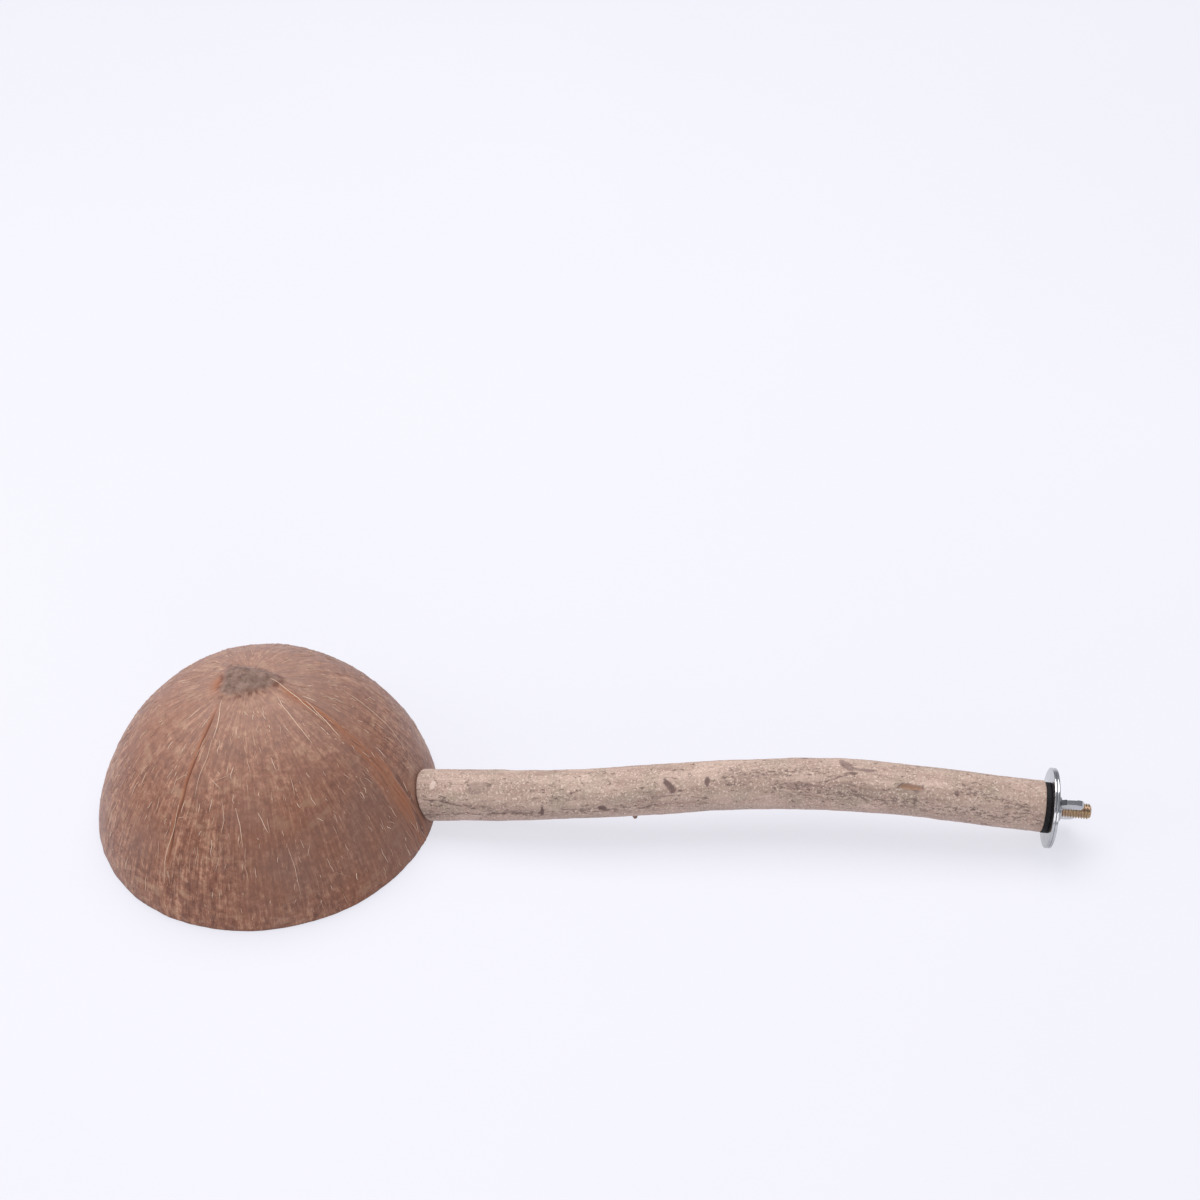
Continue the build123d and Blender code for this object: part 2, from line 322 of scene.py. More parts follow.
def branch_material():
    shader = Shader("branch_wood")
    grain = shader.attribute("grain", "Vector")
    place = shader.attribute("skin", "Vector")
    body = shader.noise(grain, 0.22, 5.0, 0.6)
    colour = shader.ramp(
        body,
        (0.32, (0.340, 0.235, 0.190)),
        (0.47, (0.425, 0.302, 0.244)),
        (0.62, (0.530, 0.390, 0.320)),
    )
    moss = shader.ramp(shader.noise(place, 0.085, 4.0, 0.6), (0.50, 0.0), (0.66, 0.50))
    colour = shader.mix(moss, colour, (0.330, 0.270, 0.205))
    pink = shader.attribute("underside")
    colour = shader.mix(pink, colour, (0.400, 0.285, 0.262))
    pale = shader.ramp(shader.noise(place, 1.3, 3.0, 0.6), (0.54, 0.0), (0.64, 0.80))
    colour = shader.mix(pale, colour, (0.690, 0.545, 0.460))
    specks = shader.noise(place, 1.05, 6.0, 0.74)
    speck_zone = shader.ramp(shader.noise(place, 0.13, 2.0, 0.5), (0.36, 0.40), (0.60, 1.0))
    dark_specks = shader.times(shader.ramp(specks, (0.375, 1.0), (0.435, 0.0)), speck_zone)
    colour = shader.mix(shader.times(dark_specks, 0.80), colour, (0.180, 0.118, 0.092))
    wave = shader.noise(place, 0.5, 2.0, 0.5)
    curls = shader.noise(shader.scaled(place, (0.42, 1.0, 1.0)), 0.85, 4.0, 0.72)
    curls = shader.plus(curls, shader.times(shader.plus(wave, -0.5), 0.25))
    dark_dashes = shader.times(shader.ramp(curls, (0.375, 1.0), (0.415, 0.0)), speck_zone)
    colour = shader.mix(shader.times(dark_dashes, 0.85), colour, (0.120, 0.080, 0.065))
    band = shader.attribute("band")
    dots = shader.noise(shader.scaled(place, (0.45, 1.0, 1.0)), 1.2, 4.0, 0.7)
    dotted = shader.times(band, shader.ramp(dots, (0.44, 1.0), (0.51, 0.0)))
    colour = shader.mix(shader.times(dotted, 0.80), colour, (0.150, 0.100, 0.085))
    colour = shader.mix(shader.attribute("pale"), colour, (0.640, 0.500, 0.430))
    colour = shader.mix(shader.attribute("scar"), colour, (0.330, 0.185, 0.115))
    colour = shader.mix(shader.attribute("knot"), colour, (0.135, 0.082, 0.075))
    colour = shader.mix(shader.attribute("cut"), colour, (0.560, 0.430, 0.290))
    rough = shader.ramp(body, (0.3, 0.62), (0.7, 0.74))
    shader.set(Base_Color=colour, Roughness=rough, Specular_IOR_Level=0.30)
    shader.bump((body, 0.5, 0.5), (specks, 0.16, 0.8), (curls, 0.16, 0.7))
    return shader.material


# Metals: the noise of their clouds, the clouds' colours, the noise of their roughness, its range, and the
# scale and strength of their fine bumps
METALS = {
    "bright_zinc": (
        (260.0, 3.0, 0.5),
        ((0.3, (0.39, 0.395, 0.41)), (0.7, (0.51, 0.51, 0.525))),
        (900.0, 4.0, 0.6),
        (0.10, 0.20),
        (1500.0, 0.25),
    ),
    "yellow_zinc": (
        (420.0, 3.0, 0.6),
        ((0.30, (0.37, 0.25, 0.17)), (0.50, (0.50, 0.38, 0.24)), (0.66, (0.46, 0.32, 0.27))),
        (2200.0, 3.0, 0.6),
        (0.24, 0.40),
        (3000.0, 0.3),
    ),
    "plain_steel": (
        (300.0, 3.0, 0.5),
        ((0.3, (0.50, 0.50, 0.51)), (0.7, (0.64, 0.64, 0.65))),
        (1200.0, 4.0, 0.6),
        (0.22, 0.42),
        (2500.0, 0.3),
    ),
}


def metal_material(name):
    clouds, colours, gloss, (smooth, dull), (bump_scale, bump_strength) = METALS[name]
    shader = Shader(name)
    place = shader.add("TexCoord").outputs["Object"]
    colour = shader.ramp(shader.noise(place, *clouds), *colours)
    rough = shader.ramp(shader.noise(place, *gloss), (0.3, smooth), (0.7, dull))
    shader.set(Base_Color=colour, Metallic=1.0, Roughness=rough)
    shader.bump((shader.noise(place, bump_scale, 2.0, 0.5), 0.01, bump_strength))
    return shader.material


def rubber_material():
    shader = Shader("black_rubber")
    place = shader.add("TexCoord").outputs["Object"]
    dust = shader.noise(place, 700.0, 5.0, 0.65)
    colour = shader.ramp(dust, (0.45, (0.008, 0.007, 0.009)), (0.80, (0.034, 0.028, 0.028)))
    rough = shader.ramp(dust, (0.3, 0.55), (0.7, 0.80))
    shader.set(Base_Color=colour, Roughness=rough, Specular_IOR_Level=0.22)
    shader.bump((shader.noise(place, 1800.0, 3.0, 0.6), 0.03, 0.5))
    return shader.material


def floor_material():
    shader = Shader("pale_floor")
    place = shader.add("TexCoord").outputs["Object"]
    cloud = shader.noise(place, 3.0, 2.0, 0.5)
    colour = shader.ramp(cloud, (0.3, (0.185, 0.183, 0.200)), (0.7, (0.198, 0.195, 0.212)))
    shader.set(Base_Color=colour, Roughness=0.55, Specular_IOR_Level=0.2)
    shader.set(Emission_Color=(0.93, 0.93, 1.0, 1), Emission_Strength=0.70)
    return shader.material


# ---- shapes


def smooth_noise(points, seed=0):
    """Noise between -1 and 1 at each point, one lump to a unit."""
    cell = np.floor(points).astype(np.int64)
    part = points - cell
    fade = part**3 * (part * (part * 6 - 15) + 10)
    total = np.zeros(points.shape[:-1])
    for corner in itertools.product((0, 1), repeat=3):
        x, y, z = np.moveaxis(cell + corner, -1, 0)
        mixed = (x * 73856093) ^ (y * 19349663) ^ (z * 83492791) ^ (seed * 2654435761)
        mixed = ((mixed ^ (mixed >> 13)) * 1274126177) & 0x7FFFFFFF
        mixed = ((mixed ^ (mixed >> 15)) * 2246822519) & 0x7FFFFFFF
        weight = np.prod(np.where(np.array(corner) == 1, fade, 1 - fade), axis=-1)
        total += weight * (mixed / 0x3FFFFFFF - 1)
    return total


def layered_noise(points, octaves=3, seed=0):
    return sum(smooth_noise(points * 2**k, seed + k) / 2**k for k in range(octaves))


def soft_step(value, low, high):
    share = np.clip((value - low) / (high - low), 0, 1)
    return share * share * (3 - 2 * share)


def skin(name, rows, material, attributes=None):
    """A closed mesh over rings of points in mm, with a pole at each end, and attributes of its points."""
    rings, count, _ = rows.shape
    poles = np.array([rows[0].mean(0), rows[-1].mean(0)])
    points = np.concatenate([rows.reshape(-1, 3), poles]) * MM
    here = np.arange(rings * count).reshape(rings, count)
    ahead = np.roll(here, -1, axis=1)
    quads = np.stack([here[:-1], ahead[:-1], ahead[1:], here[1:]], -1).reshape(-1, 4)
    first, last = rings * count, rings * count + 1
    fans = [(first, b, a) for a, b in zip(here[0], ahead[0])]
    fans += [(last, a, b) for a, b in zip(here[-1], ahead[-1])]
    mesh = bpy.data.meshes.new(name)
    mesh.from_pydata(points.tolist(), [], quads.tolist() + fans)
    for key, values in (attributes or {}).items():
        values = np.asarray(values, float)
        flat = values.reshape(rings * count, -1)
        ends = np.array([values[0].reshape(count, -1).mean(0), values[-1].reshape(count, -1).mean(0)])
        flat = np.concatenate([flat, ends])
        if flat.shape[1] == 3:
            mesh.attributes.new(key, "FLOAT_VECTOR", "POINT").data.foreach_set("vector", flat.ravel())
        else:
            mesh.attributes.new(key, "FLOAT", "POINT").data.foreach_set("value", flat.ravel())
    return piece(name, mesh, material)


def piece(name, mesh, material, smooth=True):
    mesh.materials.append(material)
    mesh.polygons.foreach_set("use_smooth", [smooth] * len(mesh.polygons))
    mesh.update()
    made = bpy.data.objects.new(name, mesh)
    bpy.context.scene.collection.objects.link(made)
    return made


# ---- coconut shell


def turned_by(angle, centre):
    """The signed turn from a centre angle, in degrees."""
    return (angle - centre + 180) % 360 - 180


def dome(lean):
    """The dome's radius, height and outward normal at leans from 0 at the rim to QUARTER at the top."""
    power = 2 / DOME_FULLNESS
    radius = RIM_RADIUS * np.cos(lean)
    height = DOME_HEIGHT * np.sin(lean) ** power
    fall = RIM_RADIUS * np.sin(lean)
    climb = DOME_HEIGHT * 2 / DOME_FULLNESS * np.sin(lean) ** (power - 1) * np.cos(lean)
    size = np.hypot(fall, climb)
    return radius, height, climb / size, fall / size


def crest_angle(ridge, radius):
    """Where a ridge's crest runs, at a radius: it swings from its tip's corner to its place at the rim."""
    at_rim, at_tip = ridge
    return at_rim + (at_tip - at_rim) * (TIP_CORNER / np.maximum(radius, TIP_CORNER)) ** 2.3


def split_ridge(off, radius, arc, wander):
    """The left ridge is split along its crest: the height this adds, the painted shade in the split, and its
    orange share.
    """
    along = soft_step(radius, 12, 22) * (1 - 0.75 * soft_step(radius, 55, 60))
    groove = np.exp(-(((off + 0.9 + wander) / 0.42) ** 2)) * along
    strip = np.exp(-(((off + 1.2 + wander) / 1.1) ** 2)) * along
    return -0.40 * groove, groove * 0.8, 0.75 * strip


def fibrous_ridge(off, radius, arc, wander):
    """The ridge by the perch carries a bundle of cords, wider towards the rim."""
    spread = 2.3 + 3.6 * soft_step(radius, 35, 62)
    strip = np.exp(-(((off + 1.0) / spread) ** 2)) * soft_step(radius, 9, 16)
    cords = layered_noise(np.stack([(off + wander) / 0.85, arc / 13, arc * 0], -1), 2, 37)
    # The second share is painted shade in the hollows between the cords; the third is the cords' own orange.
    return strip * 0.17 * cords, strip * soft_step(-cords, 0.15, 0.6) * 0.62, strip * (0.48 + 0.55 * cords)


def faint_ridge(off, radius, arc, wander):
    """The far ridge only has a shallow line, with a little painted shade in it."""
    groove = np.exp(-(((off - 0.6 + wander) / 0.6) ** 2)) * soft_step(radius, 10, 18)
    return -0.08 * groove, groove * 0.12, groove * 0


def shell_surface(angle, lean):
    """The shell's outside at angles in degrees and leans in radians: points, and shares that colour them."""
    lean = np.clip(lean, 1e-3, QUARTER - 1e-4)
    radius, height, normal_out, normal_up = dome(lean)
    turn = np.radians(angle)
    across = np.stack([np.cos(turn), np.sin(turn)], -1)
    arc = SHELL_ARC * lean / QUARTER
    streak = np.concatenate([across * 26.0, arc[..., None] * 0.045], -1)
    place = np.concatenate([across * radius[..., None], height[..., None]], -1)
    lift = 0.22 * layered_noise(place / 17, 3, 5)
    lift = lift + 0.07 * smooth_noise(streak, 11) + 0.05 * smooth_noise(streak * 2.1, 12)

    crease_shade = np.zeros_like(radius)
    bundle = np.zeros_like(radius)
    for number, (ridge, detail) in enumerate(zip(RIDGES, (split_ridge, fibrous_ridge, faint_ridge))):
        off = radius * np.sin(np.radians(np.clip(turned_by(angle, crest_angle(ridge, radius)), -90, 90)))
        beyond = np.maximum(radius - TIP_CORNER, 0)
        rise = 1.25 * np.exp(-beyond / 13) + 0.40 * np.exp(-beyond / 60)
        lift = lift + rise * (0.75 * np.exp(-((off / 4.2) ** 2)) + 0.30 * np.exp(-np.abs(off) / 1.0))
        wander = 0.35 * smooth_noise(np.stack([arc / 7, arc * 0, arc * 0 + number], -1), 31)
        # Each ridge gives its height, the painted shade in its groove and its orange share.
        rise, dark, orange = detail(off, radius, arc, wander)
        lift = lift + rise
        crease_shade = np.maximum(crease_shade, dark)
        bundle = np.maximum(bundle, orange)

    out = radius + normal_out * lift
    up = height + normal_up * lift
    corners = sum(np.exp(-((turned_by(angle, tip) / 33) ** 2)) for _, tip in RIDGES)
    edge = TIP_FLAT + (TIP_CORNER - TIP_FLAT) * corners
    rough = layered_noise(place * (1, 1, 0) / 1.7, 3, 21)
    reach = radius / edge + 0.07 * rough
    plateau = 1 / (1 + (reach / 1.12) ** 8)
    crown = TIP_HEIGHT - 0.35 - 0.7 * (radius / TIP_CORNER) ** 2 + 0.22 * rough
    up = up + (crown - up) * plateau
    up = np.maximum(up, 0.0)
    tip = soft_step(plateau, 0.25, 0.8)
    foot = np.exp(-(((reach - 1.28) / 0.16) ** 2))
    # Painted shade in the step at the foot of the tip.
    crease_shade = np.maximum(crease_shade, 0.75 * foot * soft_step(rough, -0.6, 0.3))
    left = np.exp(-((turned_by(angle, -176) / 26) ** 2)) * np.exp(-(((radius - 11.5) / 2.6) ** 2))
    bundle = np.maximum(bundle, 0.95 * left)
    points = np.stack([out * across[..., 0], out * across[..., 1], up], -1)
    return points, {"crease_shade": crease_shade, "bundle": bundle, "tip": tip, "arc": arc}


def shell_angles(count):
    """Angles round the shell, closer together by the ridges."""
    fine = np.linspace(-180, 180, 3601)
    crowd = 1 + sum(2.2 * np.exp(-((turned_by(fine, rim) / 9) ** 2)) for rim, _ in RIDGES)
    share = np.concatenate([[0], np.cumsum((crowd[1:] + crowd[:-1]) / 2)])
    return np.interp(np.arange(count) / count, share / share[-1], fine)


def cut_spot_face(inner):
    """The inside wall with the flat that the screw's washer sits on: a round pocket across the screw's axis."""
    points, _ = perch_stations()
    origin = points[1]
    axis = (points[2] - origin) / np.linalg.norm(points[2] - origin)
    depth = (inner - origin) @ axis
    off_axis = np.linalg.norm(inner - origin - depth[..., None] * axis, axis=-1)
    in_pocket = soft_step(SPOT_FACE_RADIUS + 0.3 - off_axis, 0, 0.3) * (inner[..., 0] > 0)
    push = in_pocket * np.maximum(SPOT_FACE_LEVEL - depth, 0)
    return inner + push[..., None] * axis


def inside_wall(leans, across):
    """Rings of the shell's inside, a little uneven and with the spot face."""
    radius = (RIM_RADIUS - WALL) * np.cos(leans)[:, None]
    height = (DOME_HEIGHT - WALL) * np.sin(leans)[:, None] ** (2 / DOME_FULLNESS)
    inner = np.stack([radius * across[:, 0], radius * across[:, 1], height + 0 * across[:, 0]], -1)
    inner *= 1 + 0.004 * layered_noise(inner / 14, 2, 51)[..., None]
    return cut_spot_face(inner)


def make_shell(material):
    angles = shell_angles(500)
    rise = np.linspace(0, 1, 138)
    leans = QUARTER * (1 - (1 - rise) ** 1.12)
    lean, angle = np.meshgrid(leans[::-1][1:], angles, indexing="ij")
    outside, shares = shell_surface(angle, lean)
    outside[-1, :, 2] = 0.5
    turn = np.radians(angles)
    across = np.stack([np.cos(turn), np.sin(turn)], -1)

    rim_out = np.linalg.norm(outside[-1, :, :2], axis=-1)
    rim_in = RIM_RADIUS - WALL
    saw = 0.10 * smooth_noise(np.stack([across[:, 0] * 30, across[:, 1] * 30, across[:, 0] * 0], -1), 41)
    rim_rows = []
    rim_section = ((0.0, 0.18), (0.05, 0.02), (0.28, 0.0), (0.5, 0.0), (0.72, 0.0), (0.93, 0.05), (1.0, 0.35))
    for share, level in rim_section:
        radius = rim_out - 0.15 + (rim_in + 0.1 - rim_out) * share
        level = level + np.abs(saw) * (0.2 < share < 0.8)
        rim_rows.append(np.stack([radius * across[:, 0], radius * across[:, 1], radius * 0 + level], -1))

    low_leans, top_leans = np.linspace(0.10, 0.46, 27), np.linspace(0.50, QUARTER - 0.004, 15)
    inner_leans = np.concatenate([(0.02, 0.06), low_leans, top_leans])
    inner = inside_wall(inner_leans, across)
    rows = np.concatenate([outside, np.stack(rim_rows), inner])

    low, mid, high = len(outside), len(rim_rows), len(inner)
    pad = np.zeros((mid + high, len(angles)))
    arc = np.concatenate([shares["arc"], pad[:mid], SHELL_ARC * inner_leans[:, None] / QUARTER + 0 * turn])
    wide = np.broadcast_to(across, (len(rows), len(angles), 2))
    attributes = {key: np.concatenate([shares[key], pad]) for key in ("crease_shade", "bundle", "tip")}
    attributes["grain"] = np.concatenate([wide * RIM_RADIUS, arc[..., None] * 0.11], -1)
    attributes["top_grain"] = np.concatenate([wide * 24.0, arc[..., None] * 0.11], -1)
    attributes["climb"] = arc / SHELL_ARC
    attributes["sawn"] = np.concatenate([pad[:1].repeat(low, 0), pad[:mid] + 1, pad[:high]])
    attributes["inside"] = np.concatenate([pad[:1].repeat(low + mid, 0), pad[:high] + 1])
    shell = skin("coconut_shell_skin", rows, material, attributes)
    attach(shell, BODY)
    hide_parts("coconut_shell")
    return shell


def lean_at(radius):
    return np.arccos(np.clip(np.asarray(radius, float) / RIM_RADIUS, 0, 1))


def strand(path, width, tone):
    """A thin hair on the shell along (angle, radius) points: its tube's rings of points, and its tone."""
    path = np.array(path, float)
    steps = max(4, 3 * len(path))
    share = np.linspace(0, 1, steps)
    knots = np.linspace(0, 1, len(path))
    angle = np.interp(share, knots, path[:, 0])
    lean = lean_at(np.interp(share, knots, path[:, 1]))
    line, _ = shell_surface(angle, lean)
    ahead = np.gradient(line, axis=0)
    ahead /= np.linalg.norm(ahead, axis=-1, keepdims=True)
    out = line * (1, 1, 0.7) / np.linalg.norm(line * (1, 1, 0.7), axis=-1, keepdims=True)
    side = np.cross(ahead, out)
    side /= np.linalg.norm(side, axis=-1, keepdims=True)
    out = np.cross(side, ahead)
    proud = 0.02
    thick = width * np.sin(np.pi * np.clip(share, 0.06, 0.94)) ** 0.4
    rings = []
    for corner in range(5):
        turn = 2 * math.pi * corner / 5
        ring = line + out * (proud + thick[:, None] * (0.5 + math.sin(turn)))
        rings.append(ring + side * thick[:, None] * math.cos(turn))
    return np.stack(rings, 1), tone


def make_hairs(material):
    """Pale fibres that the brushing left on the shell: a few long ones, and many short ones at random."""
    chance = random.Random(7)
    strands = [
        strand([(-128, 12.6), (-117, 17), (-112, 21), (-110, 25.7)], 0.19, 0.8),
        strand([(5, 8.0), (-9, 14), (-16, 22), (-19, 30.9)], 0.17, 0.8),
        strand([(-26, 13), (-33, 16.6), (-36, 24), (-37, 32.7)], 0.15, 0.85),
        strand([(-12, 22), (-16, 27), (-19, 33), (-20, 37)], 0.16, 0.85),
        strand([(-111, 26), (-109, 31), (-110, 37), (-109, 43)], 0.13, 0.75),
        strand([(-116, 46), (-115, 52), (-116, 58), (-115, 62)], 0.15, 0.80),
        strand([(-88, 44), (-86, 48), (-85, 53)], 0.12, 0.85),
        strand([(-95, 42), (-93, 47), (-94, 50)], 0.10, 0.80),
        strand([(-68, 54), (-67, 58), (-67, 62.5)], 0.11, 0.70),
        strand([(18, 33), (12, 41), (8, 50), (3, 55)], 0.13, 0.80),
        strand([(31, 38), (27, 46), (22, 54)], 0.12, 0.80),
    ]
    for _ in range(1050):
        angle = chance.uniform(-180, 180)
        radius = 65 * math.sqrt(chance.uniform(0.04, 0.99))
        length = chance.choice((1.0, 1.5, 2.0, 2.5, 3.0, 4.0, 5.5)) * chance.uniform(0.7, 1.3)
        slope = math.sqrt(max(0.05, 1 - (radius / RIM_RADIUS) ** 2)) * 0.8 + 0.1
        sway = chance.gauss(0, 0.13) if chance.random() < 0.9 else chance.gauss(0, 0.6)
        points = []
        for share in (0, 0.33, 0.67, 1.0):
            reach = min(65.2, radius + length * slope * share)
            bend = sway * length * share + chance.gauss(0, 0.14)
            points.append((angle + math.degrees(bend / max(reach, 6)), reach))
        strands.append(strand(points, chance.uniform(0.06, 0.140), chance.uniform(0.15, 1.0) ** 0.9))
    points, faces, tones = [], [], []
    for rings, tone in strands:
        start = len(points)
        count, sides, _ = rings.shape
        points += (rings.reshape(-1, 3) * MM).tolist()
        tones += [tone] * (count * sides)
        for row in range(count - 1):
            for side in range(sides):
                a, b = start + row * sides + side, start + row * sides + (side + 1) % sides
                faces.append((a, b, b + sides, a + sides))
        faces.append(tuple(start + side for side in reversed(range(sides))))
        faces.append(tuple(start + (count - 1) * sides + side for side in range(sides)))
    mesh = bpy.data.meshes.new("shell_hairs")
    mesh.from_pydata(points, [], faces)
    mesh.attributes.new("tone", "FLOAT", "POINT").data.foreach_set("value", tones)
    hairs = piece("shell_hairs", mesh, material)
    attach(hairs, BODY)


# ---- branch


def perch_stations():
    """Points of the perch's axis and its diameter's share at each, as the CAD has them."""
    start = np.array(PERCH_START)
    end = np.array([CLAMP_X, 0.0, CLAMP_Z + BOLT_OFF_CENTRE])
    points, shares = [start], [PERCH_ENDS[0]]
    for along, sideways, rise, share in PERCH_BENDS:
        straight = start + (end - start) * along
        points.append(np.array([straight[0], sideways, straight[2] + rise]))
        shares.append(share)
    inward = (points[1] - start) / np.linalg.norm(points[1] - start)
    points = np.array([start - inward * 3 * WALL, *points, end])
    return points, np.array([PERCH_ENDS[0], *shares, PERCH_ENDS[1]])


def cubic_through(knots, values, end_slope, places):
    """A cubic spline through values at knots, straight at its first end and with a given slope at its last."""
    count = len(knots)
    gap = np.diff(knots)
    matrix = np.zeros((count, count))
    right = np.zeros((count, values.shape[1]))
    for k in range(1, count - 1):
        matrix[k, k - 1 : k + 2] = gap[k - 1], 2 * (gap[k - 1] + gap[k]), gap[k]
        right[k] = 6 * ((values[k + 1] - values[k]) / gap[k] - (values[k] - values[k - 1]) / gap[k - 1])
    matrix[0, 0] = 1
    matrix[-1, -2:] = gap[-1], 2 * gap[-1]
    right[-1] = 6 * (end_slope - (values[-1] - values[-2]) / gap[-1])
    bend = np.linalg.solve(matrix, right)
    k = np.clip(np.searchsorted(knots, places) - 1, 0, count - 2)
    a, b = ((knots[k + 1] - places) / gap[k])[:, None], ((places - knots[k]) / gap[k])[:, None]
    curve = ((a**3 - a) * bend[k] + (b**3 - b) * bend[k + 1]) * (gap[k] ** 2)[:, None] / 6
    return a * values[k] + b * values[k + 1] + curve


class Perch:
    """The perch's axis: where it is, which way it runs and how thick it is at a distance along it."""

    def __init__(self):
        points, shares = perch_stations()
        knots = np.concatenate([[0], np.cumsum(np.linalg.norm(np.diff(points, axis=0), axis=1))])
        self.inside = knots[1]  # how much of the axis lies behind the shell's outside
        self.length = knots[-1]
        self.table = np.linspace(0, self.length, 600)
        slope = np.array([math.cos(BOLT_TILT), 0, -math.sin(BOLT_TILT)])
        self.line = cubic_through(knots, points, slope, self.table)
        self.ahead = np.gradient(self.line, self.table, axis=0)
        self.ahead /= np.linalg.norm(self.ahead, axis=1, keepdims=True)
        self.shares = np.interp(self.table, knots, shares)

    def at(self, along, values):
        return np.stack([np.interp(along, self.table, values[:, k]) for k in range(3)], -1)

    def point(self, along, around, radius):
        """A point off the axis; around is in degrees from the top, positive towards +Y."""
        ahead = self.at(along, self.ahead)
        side = np.cross(np.array([0.0, 0.0, 1.0]), ahead)
        side /= np.linalg.norm(side, axis=-1, keepdims=True)
        up = np.cross(ahead, side)
        turn = np.radians(around)[..., None]
        return self.at(along, self.line) + radius[..., None] * (np.cos(turn) * up + np.sin(turn) * side)

    def cope(self, around, radius):
        """How far along the axis a line at that radius leaves the shell's outside."""
        low, high = np.zeros_like(radius), np.zeros_like(radius) + 30.0
        for _ in range(22):
            middle = (low + high) / 2
            spot = self.point(middle, around, radius)
            height = np.clip(spot[..., 2], 0, DOME_HEIGHT)
            wall = RIM_RADIUS * np.sqrt(1 - (height / DOME_HEIGHT) ** DOME_FULLNESS)
            inside = np.hypot(spot[..., 0], spot[..., 1]) < wall + 0.25
            low, high = np.where(inside, middle, low), np.where(inside, high, middle)
        return (low + high) / 2


# Marks on the perch: (x, degrees round from the top, half length, half width, slant, depth, kind)
PERCH_MARKS = (
    (156.1, -41, 2.7, 2.3, -0.85, 0.35, "knot"),
    (169.8, -37, 1.1, 2.1, 0.0, 0.20, "knot"),
    (131.0, -80, 1.9, 1.2, -0.2, 0.30, "knot"),
    (108.6, -84, 0.9, 2.6, 0.1, 0.35, "knot"),
    (221.5, 2, 3.4, 2.6, -0.75, 0.45, "bruise"),
    (227.5, -6, 5.6, 0.9, 0.0, 0.20, "bruise"),
    (244.7, -38, 4.2, 1.2, 0.0, 0.60, "scar"),
    (262.0, -40, 1.1, 1.5, 0.2, 0.15, "bruise"),
    (66.3, -22, 1.2, 2.0, 0.3, 0.00, "pale"),
    (84.0, -28, 5.0, 2.6, 0.0, 0.10, "stain"),
    (202.0, -48, 7.0, 1.2, 0.0, 0.15, "stain"),
    (120.0, 65, 3.0, 2.0, 0.3, 0.40, "knot"),
    (183.0, 118, 3.8, 1.8, 0.2, 0.35, "knot"),
    (206.0, 40, 2.4, 1.5, 0.0, 0.25, "knot"),
    (252.0, 95, 4.0, 1.3, 0.1, 0.45, "scar"),
    (92.0, 140, 2.6, 1.7, 0.0, 0.30, "knot"),
    (150.0, 175, 4.6, 1.4, 0.2, 0.40, "scar"),
    (236.0, 172, 2.2, 2.0, 0.0, 0.30, "knot"),
)
# Cracks: (first x, degrees there, last x, degrees there, half width, depth)
PERCH_CRACKS = (
    (62.0, -55, 72.0, -60, 0.32, 0.35),
    (72.0, -60, 77.5, -69, 0.35, 0.40),
    (79.0, -66, 83.0, -76, 0.30, 0.30),
    (88.0, -92, 108.0, -90, 0.32, 0.35),
    (117.0, -82, 130.0, -80, 0.30, 0.30),
    (148.0, -62, 160.0, -62, 0.22, 0.20),
    (214.0, -38, 221.0, -22, 0.28, 0.30),
    (100.0, 100, 128.0, 96, 0.30, 0.35),
    (190.0, 70, 222.0, 78, 0.32, 0.35),
)

# Bands of fine dark dashes: (first x, degrees there, last x, degrees there, half width)
PERCH_BANDS = (
    (196.0, -54, 250.0, -75, 2.6),
    (250.0, -75, 292.0, -80, 2.0),
    (64.0, -92, 150.0, -86, 1.6),
    (178.0, -24, 214.0, -14, 1.8),
    (262.0, -20, 288.0, -58, 2.0),
    (90.0, 60, 190.0, 84, 2.2),
    (200.0, 130, 280.0, 112, 2.4),
)
MARK_SHARES = {"knot": 0.9, "bruise": 0.6, "stain": 0.35}  # how dark each kind is


def off_line(x, around, radius, line):
    """How far points on the perch are round from a line along it, and past the line's ends."""
    first_x, first_around, last_x, last_around = line
    share = np.clip((x - first_x) / (last_x - first_x), 0, 1)
    beyond = np.maximum(first_x - x, x - last_x).clip(0)
    middle = first_around + (last_around - first_around) * share
    return np.radians(turned_by(around, middle)) * radius, beyond


def perch_marks(x, around, radius):
    """The perch's marks at each point: how deep, and the shares that colour them."""
    turn = np.radians(around)
    ragged = layered_noise(np.stack([x / 2.2, np.cos(turn) * 4.5, np.sin(turn) * 4.5], -1), 3, 61)
    depth = np.zeros_like(x)
    shares = {kind: np.zeros_like(x) for kind in ("knot", "scar", "pale", "band")}
    for mark_x, mark_around, half_length, half_width, slant, deep, kind in PERCH_MARKS:
        off_x = x - mark_x
        off_round = np.radians(turned_by(around, mark_around)) * radius - slant * off_x
        near = 1 - np.sqrt((off_x / half_length) ** 2 + (off_round / half_width) ** 2) + 0.28 * ragged
        inside = soft_step(near, -0.05, 0.25)
        depth += deep * soft_step(near, 0.0, 0.6)
        if kind == "scar":
            shares["scar"] = np.maximum(shares["scar"], inside * 0.85)
            lip = np.exp(-(((near + 0.02) / 0.14) ** 2))
            shares["knot"] = np.maximum(shares["knot"], 0.85 * lip * (0.55 + 0.45 * (off_round > 0)))
            depth -= 0.15 * lip
        elif kind == "pale":
            shares["pale"] = np.maximum(shares["pale"], inside * 0.9)
        else:
            shares["knot"] = np.maximum(shares["knot"], inside * MARK_SHARES[kind])
    for *line, half_width, deep in PERCH_CRACKS:
        off_round, beyond = off_line(x, around, radius, line)
        off_round += 0.55 * ragged
        fade = soft_step(ragged, -0.9, 0.1)
        crack = np.exp(-((off_round / half_width) ** 2) - (beyond / 0.8) ** 2) * fade
        depth += deep * crack
        shares["knot"] = np.maximum(shares["knot"], 0.8 * crack)
    for *line, half_width in PERCH_BANDS:
        off_round, beyond = off_line(x, around, radius, line)
        off_round += 1.2 * ragged
        band = np.exp(-((off_round / half_width) ** 2) - (beyond / 3) ** 2)
        shares["band"] = np.maximum(shares["band"], band)
    return depth, shares


